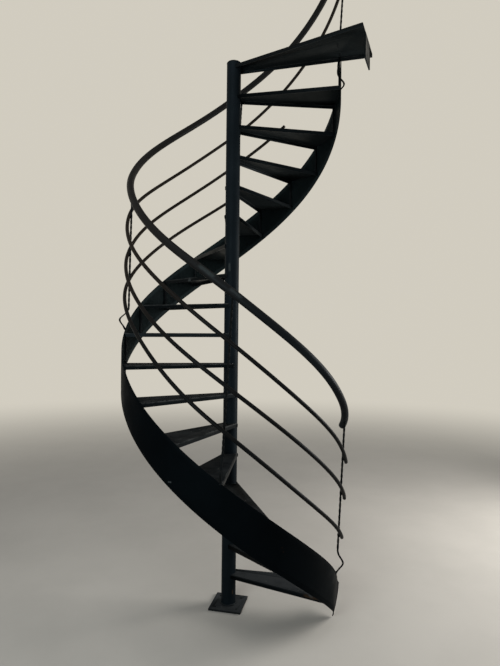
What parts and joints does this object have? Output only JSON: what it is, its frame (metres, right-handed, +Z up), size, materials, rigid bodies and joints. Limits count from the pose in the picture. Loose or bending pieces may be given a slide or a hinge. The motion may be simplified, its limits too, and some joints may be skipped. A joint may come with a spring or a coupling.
{
  "type": "spiral staircase",
  "caption": "Clockwise spiral stair: centre tube on a foot plate, wedge treads inside a helical flat-bar stringer, and a railing of bent rails on twisted bars.",
  "frame": {"origin": "centre of the foot plate's underside, on the centre tube's axis, at floor level", "axes": "+Z up along the centre tube; the stringer starts on the +X side and the stair climbs clockwise seen from above, passing -Y, -X and +Y"},
  "size_m": [1.5336, 1.4093, 4.3841],
  "materials": {
    "frame_paint": "worn satin black paint",
    "tread_paint": "dusty satin black paint",
    "railing_paint": "satin black paint"
  },
  "bodies": {
    "root": {"base_plate": "frame_paint", "centre_pole": "frame_paint", "pole_cap": "frame_paint", "tread_01": "tread_paint", "tread_02": "tread_paint", "tread_03": "tread_paint", "tread_04": "tread_paint", "tread_05": "tread_paint", "tread_06": "tread_paint", "tread_07": "tread_paint", "tread_08": "tread_paint", "tread_09": "tread_paint", "tread_10": "tread_paint", "tread_11": "tread_paint", "tread_12": "tread_paint", "tread_13": "tread_paint", "tread_14": "tread_paint", "tread_15": "tread_paint", "tread_16": "tread_paint", "tread_17": "tread_paint", "landing_plate": "tread_paint", "stringer": "frame_paint", "handrail": "railing_paint", "mid_rail_upper": "railing_paint", "mid_rail_middle": "railing_paint", "mid_rail_lower": "railing_paint", "baluster_1": "railing_paint", "baluster_2": "railing_paint", "baluster_3": "railing_paint", "baluster_4": "railing_paint", "baluster_5": "railing_paint"}
  },
  "joints": []
}
